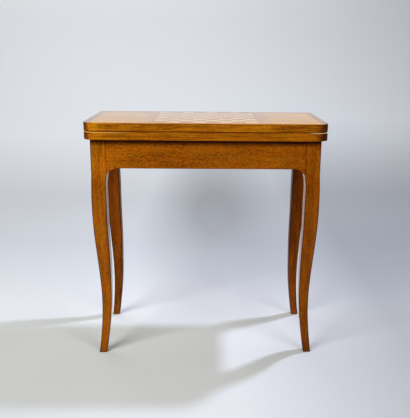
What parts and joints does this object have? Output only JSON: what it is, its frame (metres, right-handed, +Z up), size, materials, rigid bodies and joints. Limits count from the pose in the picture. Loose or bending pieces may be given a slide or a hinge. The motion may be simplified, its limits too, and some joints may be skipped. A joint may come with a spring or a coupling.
{
  "type": "games table",
  "caption": "Fold-over games table on curved legs: a chessboard top that swivels a quarter turn and opens to a square baize-lined playing surface.",
  "frame": {"origin": "centre of the whole table's bounding box, at the floor", "axes": "+Z up; +X to the right along the width, -Y to the front, with the table folded"},
  "size_m": [0.74, 0.3748, 0.755],
  "materials": {
    "leg_wood": "shellac, satin, lengthwise grain",
    "apron_wood": "shellac, satin, mottled grain",
    "edge_wood": "shellac, satin, straight grain",
    "inner_wood": "bare, planed",
    "peg_wood": "bare, turned",
    "light_veneer": "shellac, semi-gloss",
    "dark_veneer": "shellac, semi-gloss",
    "band_veneer": "shellac, semi-gloss",
    "field_veneer": "shellac, semi-gloss",
    "baize": "napped wool cloth, matt",
    "brass": "dulled",
    "iron": "dark, filed"
  },
  "bodies": {
    "frame": {"leg_front_left": "leg_wood", "leg_front_right": "leg_wood", "leg_rear_left": "leg_wood", "leg_rear_right": "leg_wood", "apron_front": "apron_wood", "apron_back": "apron_wood", "apron_left": "apron_wood", "apron_right": "apron_wood", "pivot_rail": "inner_wood", "pivot_bush": "brass", "well_floor": "inner_wood", "well_cleats": "inner_wood"},
    "lower_leaf": {"lower_core": "inner_wood", "lower_lipping_front": "edge_wood", "lower_lipping_back": "edge_wood", "lower_lipping_left": "edge_wood", "lower_lipping_right": "edge_wood", "lower_baize": "baize", "hinge_lower_left": "brass", "hinge_lower_right": "brass", "hinge_pins": "brass", "pivot_plate": "iron", "pivot_bolt": "iron", "clamp_washer": "iron", "pivot_nut": "iron", "stop_peg": "peg_wood"},
    "upper_leaf": {"upper_core": "inner_wood", "upper_lipping_front": "edge_wood", "upper_lipping_back": "edge_wood", "upper_lipping_left": "edge_wood", "upper_lipping_right": "edge_wood", "upper_baize": "baize", "squares_light": "light_veneer", "squares_dark": "dark_veneer", "board_stringing": "dark_veneer", "board_bands": "band_veneer", "side_veneers": "field_veneer", "hinge_upper_left": "brass", "hinge_upper_right": "brass"}
  },
  "joints": [
    {"name": "top_swivel", "type": "hinge", "parent": "frame", "child": "lower_leaf", "pos_m": [0.0925, 0.09012, 0.7036], "axis": [0, 0, 1], "range_deg": [0, 90]},
    {"name": "leaf_fold", "type": "hinge", "parent": "lower_leaf", "child": "upper_leaf", "pos_m": [0, 0.18288, 0.7293], "axis": [-1, 0, 0], "range_deg": [0, 180]}
  ]
}
